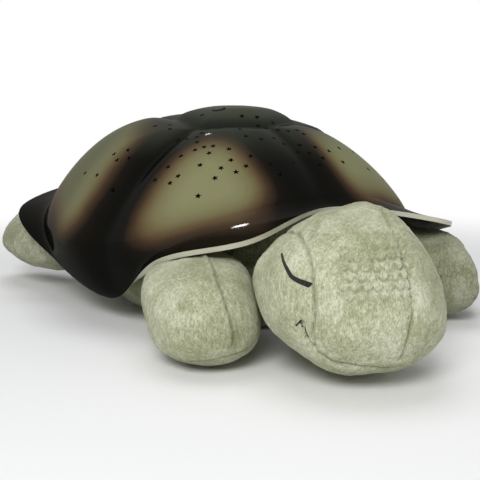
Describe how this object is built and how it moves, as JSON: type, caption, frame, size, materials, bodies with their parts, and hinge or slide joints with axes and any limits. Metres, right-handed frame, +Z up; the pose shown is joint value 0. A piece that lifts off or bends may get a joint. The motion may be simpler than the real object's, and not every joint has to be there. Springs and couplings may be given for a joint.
{
  "type": "star night light projector",
  "caption": "Sleeping turtle night light: a glossy shell with star cut-outs over a lamp unit, set in a stuffed plush body.",
  "frame": {"origin": "on the floor under the shell's middle, on the underside of the belly flap", "axes": "+Z up, -Y towards the head end, +X towards the turtle's left side"},
  "size_m": [0.2132, 0.3475, 0.1158],
  "materials": {
    "shell_gloss": "glossy lacquer, airbrushed from cream green to near black",
    "panel_plastic": "fine matt texture",
    "button_white": "smooth",
    "button_amber_tint": "smooth",
    "button_green_tint": "smooth",
    "button_blue_tint": "smooth",
    "circuit_board": "solder mask",
    "black_plastic": "matt",
    "steel": "zinc plated",
    "spring_steel": "nickel plated",
    "housing_plastic": "satin",
    "cell_jacket": "plain printed film",
    "lamp_amber_tint": "clear tinted resin",
    "lamp_green_tint": "clear tinted resin",
    "lamp_blue_tint": "clear tinted resin",
    "red_wire": "smooth sleeve",
    "white_wire": "smooth sleeve",
    "plush_belly": "short pile",
    "plush_pile": "short mottled pile",
    "fastener_tape": "hook and loop",
    "dark_thread": "satin stitch"
  },
  "bodies": {
    "turtle": {"shell": "shell_gloss", "button_frame": "panel_plastic", "button_board": "circuit_board", "tact_switches": "black_plastic", "button_screws": "steel", "lamp_tray": "housing_plastic", "battery_door": "housing_plastic", "door_screw": "steel", "battery_cells": "cell_jacket", "battery_contacts": "spring_steel", "battery_springs": "spring_steel", "tray_screws": "steel", "plush_clamp_ring": "panel_plastic", "main_board": "circuit_board", "board_screws": "steel", "timer_chip": "black_plastic", "lamp_tower": "housing_plastic", "led_amber": "lamp_amber_tint", "led_green": "lamp_green_tint", "led_blue": "lamp_blue_tint", "battery_lead": "red_wire", "button_lead": "white_wire", "plush_body": "plush_belly", "plush_head": "plush_pile", "front_right_flipper": "plush_pile", "front_left_flipper": "plush_pile", "rear_right_flipper": "plush_pile", "rear_left_flipper": "plush_pile", "tail": "plush_pile", "hook_strip": "fastener_tape", "eye_stitching": "dark_thread", "mouth_stitching": "dark_thread"},
    "button_power_body": {"button_power": "button_white"},
    "button_amber_body": {"button_amber": "button_amber_tint"},
    "button_green_body": {"button_green": "button_green_tint"},
    "button_blue_body": {"button_blue": "button_blue_tint"},
    "belly_flap_body": {"belly_flap": "plush_belly", "loop_strip": "fastener_tape"}
  },
  "joints": [
    {"name": "button_power_press", "type": "slide", "parent": "turtle", "child": "button_power_body", "axis": [0, -0.5446, -0.8387], "range_m": [0, 0.001], "stiffness_N_per_m": 500},
    {"name": "button_amber_press", "type": "slide", "parent": "turtle", "child": "button_amber_body", "axis": [0, -0.5446, -0.8387], "range_m": [0, 0.001], "stiffness_N_per_m": 500},
    {"name": "button_green_press", "type": "slide", "parent": "turtle", "child": "button_green_body", "axis": [0, -0.5446, -0.8387], "range_m": [0, 0.001], "stiffness_N_per_m": 500},
    {"name": "button_blue_press", "type": "slide", "parent": "turtle", "child": "button_blue_body", "axis": [0, -0.5446, -0.8387], "range_m": [0, 0.001], "stiffness_N_per_m": 500},
    {"name": "belly_flap_fold", "type": "hinge", "parent": "turtle", "child": "belly_flap_body", "pos_m": [0, 0.046, 0], "axis": [1, 0, 0], "range_deg": [0, 110]}
  ]
}
